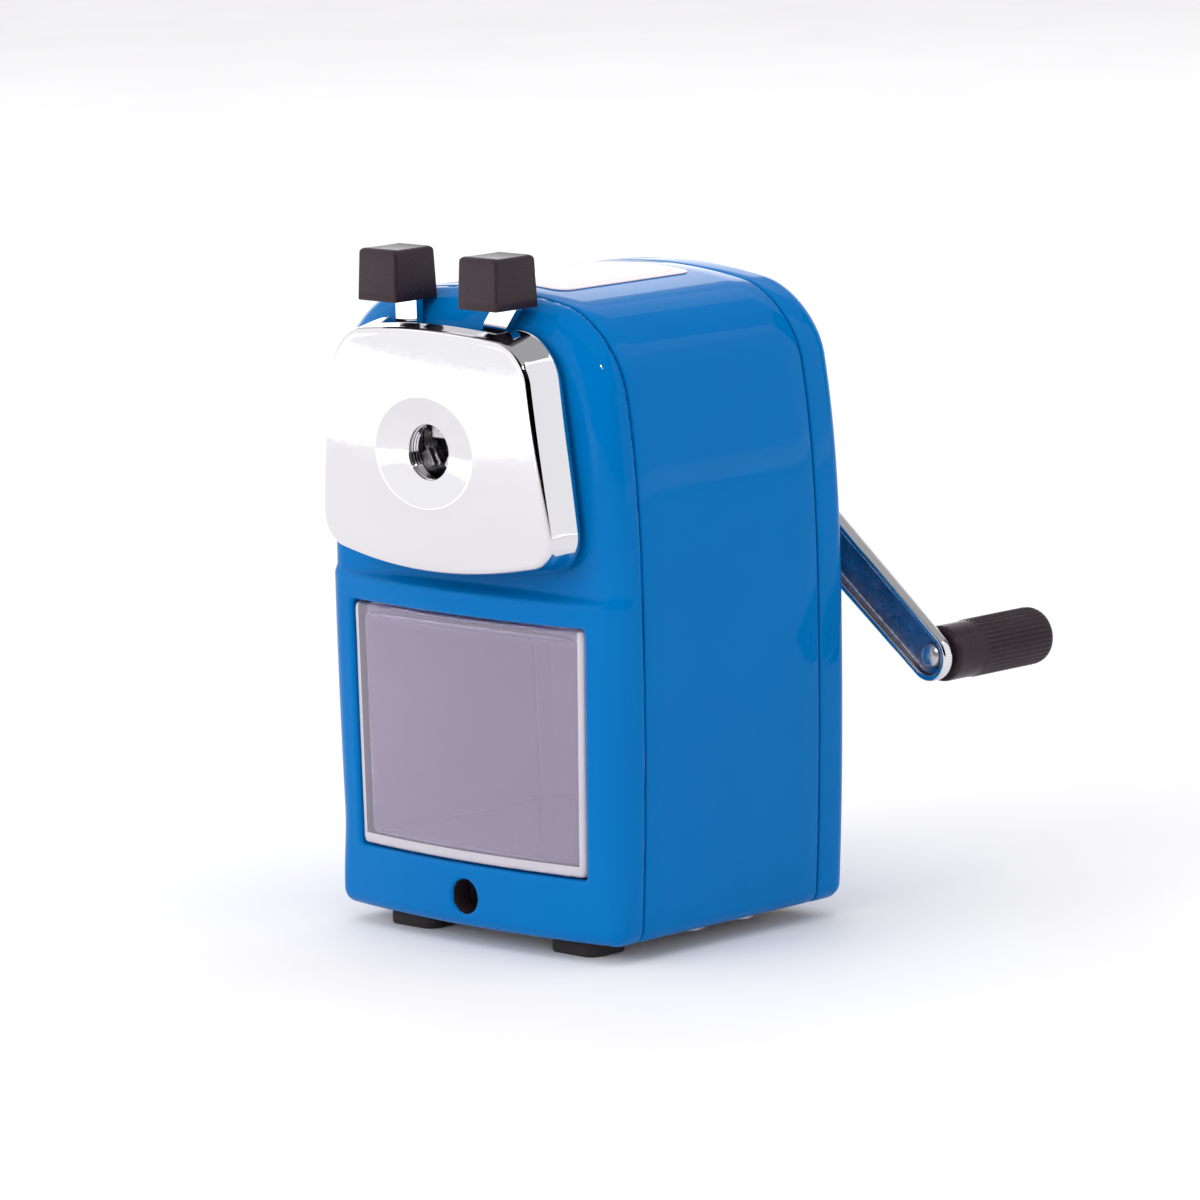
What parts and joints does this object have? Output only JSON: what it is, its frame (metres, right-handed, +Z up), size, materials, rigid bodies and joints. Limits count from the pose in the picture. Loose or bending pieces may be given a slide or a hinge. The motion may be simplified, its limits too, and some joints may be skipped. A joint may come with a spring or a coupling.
{
  "type": "pencil sharpener",
  "caption": "Desk pencil sharpener with a rear crank, pull-out sprung face plate, squeeze levers, inclined helical cutter and a clear shavings drawer.",
  "frame": {"origin": "middle of the whole object's footprint on the table, with the crank at rest", "axes": "+Z up, -Y towards the face plate, +Y towards the crank, +X to the right seen from the front"},
  "size_m": [0.0892, 0.0992, 0.1186],
  "materials": {
    "blue_paint": "high-gloss blue enamel",
    "chrome": "bright chrome plate",
    "steel": "zinc-plated steel",
    "hard_steel": "ground hardened steel",
    "brass": "machined brass",
    "black_plastic": "satin brown-black plastic",
    "rubber": "matt black rubber",
    "nylon": "natural nylon",
    "label": "blank glossy film",
    "clear_plastic": "clear smoky polystyrene"
  },
  "bodies": {
    "housing": {"front_frame": "blue_paint", "body_shell": "blue_paint", "rear_cover": "blue_paint", "base_plate": "steel", "top_label": "label", "mechanism_bracket": "steel", "drawer_bay_roof": "steel", "clamp_socket": "steel", "cutter_housing": "steel", "ring_gear": "hard_steel", "rear_bush": "brass", "foot_front_left": "rubber", "foot_front_right": "rubber", "foot_rear_left": "rubber", "foot_rear_right": "rubber", "cover_screw_left": "steel", "cover_screw_right": "steel", "base_screw_1": "steel", "base_screw_2": "steel", "base_screw_3": "steel", "base_screw_4": "steel", "guide_bush_left": "nylon", "guide_bush_right": "nylon"},
    "carriage": {"face_plate": "chrome", "nose_bush": "chrome", "chuck_plate": "steel", "lever_spring": "hard_steel", "guide_rod_left": "chrome", "guide_rod_right": "chrome", "rod_clip_left": "hard_steel", "rod_clip_right": "hard_steel", "return_spring_left": "hard_steel", "return_spring_right": "hard_steel"},
    "left_lever": {"lever_left": "chrome", "lever_cap_left": "black_plastic"},
    "right_lever": {"lever_right": "chrome", "lever_cap_right": "black_plastic"},
    "jaw_1": {"jaw_1": "hard_steel"},
    "jaw_2": {"jaw_2": "hard_steel"},
    "jaw_3": {"jaw_3": "hard_steel"},
    "drawer": {"drawer_tray": "clear_plastic"},
    "crank": {"crank_arm": "chrome", "crank_shaft": "steel", "cutter_carrier": "steel", "cutter_axle": "steel", "shaft_washer": "steel", "shaft_nut": "steel", "grip_pin": "steel"},
    "cutter": {"helical_cutter": "hard_steel", "cutter_pinion": "brass"},
    "grip": {"crank_grip": "black_plastic"}
  },
  "joints": [
    {"name": "carriage_slide", "type": "slide", "parent": "housing", "child": "carriage", "axis": [0, -1, 0], "range_m": [0, 0.028], "stiffness_N_per_m": 150, "springref_m": -0.02, "deforming": ["return_spring_left", "return_spring_right"]},
    {"name": "left_lever_turn", "type": "hinge", "parent": "carriage", "child": "left_lever", "pos_m": [-0.00892, -0.04305, 0.085], "axis": [0, 1, 0], "range_deg": [0, 9], "stiffness_Nm_per_rad": 0.4, "springref_deg": -5.73, "deforming": ["lever_spring"]},
    {"name": "right_lever_turn", "type": "hinge", "parent": "carriage", "child": "right_lever", "pos_m": [-0.00892, -0.04125, 0.085], "axis": [0, 1, 0], "range_deg": [-9, 0]},
    {"name": "jaw_1_slide", "type": "slide", "parent": "carriage", "child": "jaw_1", "axis": [0, 0, 1], "range_m": [0, 0.0024]},
    {"name": "jaw_2_slide", "type": "slide", "parent": "carriage", "child": "jaw_2", "axis": [0.866, 0, -0.5], "range_m": [0, 0.0024]},
    {"name": "jaw_3_slide", "type": "slide", "parent": "carriage", "child": "jaw_3", "axis": [-0.866, 0, -0.5], "range_m": [0, 0.0024]},
    {"name": "drawer_slide", "type": "slide", "parent": "housing", "child": "drawer", "axis": [0, -1, 0], "range_m": [0, 0.045]},
    {"name": "crank_turn", "type": "hinge", "parent": "housing", "child": "crank", "pos_m": [-0.00892, 0.01195, 0.085], "axis": [0, 1, 0], "continuous": true},
    {"name": "cutter_spin", "type": "hinge", "parent": "crank", "child": "cutter", "pos_m": [-0.00892, -0.00355, 0.0905], "axis": [0, 0.9848, -0.1736], "continuous": true},
    {"name": "grip_spin", "type": "hinge", "parent": "crank", "child": "grip", "pos_m": [0.03965, 0.03695, 0.04567], "axis": [0, 1, 0], "continuous": true}
  ],
  "couplings": [
    {"joint": "right_lever_turn", "follows": "left_lever_turn", "ratio": -1},
    {"joint": "jaw_1_slide", "follows": "left_lever_turn", "m_per_rad": 0.0152},
    {"joint": "jaw_2_slide", "follows": "left_lever_turn", "m_per_rad": 0.0152},
    {"joint": "jaw_3_slide", "follows": "left_lever_turn", "m_per_rad": 0.0152},
    {"joint": "cutter_spin", "follows": "crank_turn", "ratio": -1.8462}
  ]
}
